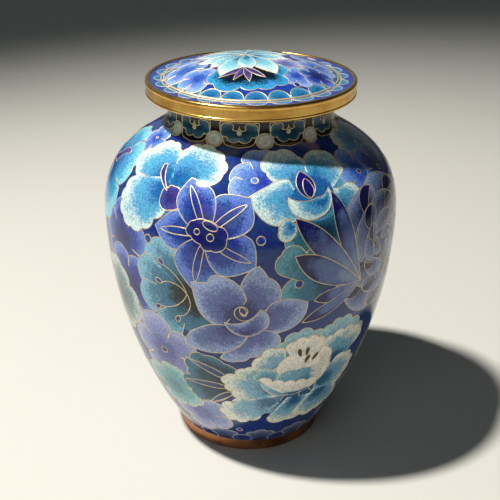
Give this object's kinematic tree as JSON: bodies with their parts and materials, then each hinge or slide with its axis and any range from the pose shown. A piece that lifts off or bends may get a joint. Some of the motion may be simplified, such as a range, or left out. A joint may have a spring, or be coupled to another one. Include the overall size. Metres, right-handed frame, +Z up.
{
  "type": "cloisonne jar",
  "caption": "Lidded cloisonne jar with a full shoulder, a narrow foot ring and a low domed lid held in a metal band; enamelled flowers in wire outlines all round.",
  "frame": {"origin": "centre of the underside of the foot ring, on the surface that the jar stands on", "axes": "+Z up along the jar's axis; -Y towards the viewer of the picture, where the white peony and the lilies are; +X to the right there"},
  "size_m": [0.1818, 0.1818, 0.248],
  "materials": {
    "body_enamel": "polished glassy enamel over copper, flowers in blues, turquoise, lavender and white between gilt wires",
    "lid_enamel": "polished glassy enamel over copper, flowers and a border of scallops between gilt wires",
    "brass": "brushed, slightly tarnished; also the gilt wires in the enamel",
    "copper": "satin bare copper, darkened"
  },
  "bodies": {
    "root": {"foot_ring": "copper", "jar_body": "body_enamel", "lid_band": "brass", "lid_disc": "lid_enamel"}
  },
  "joints": []
}
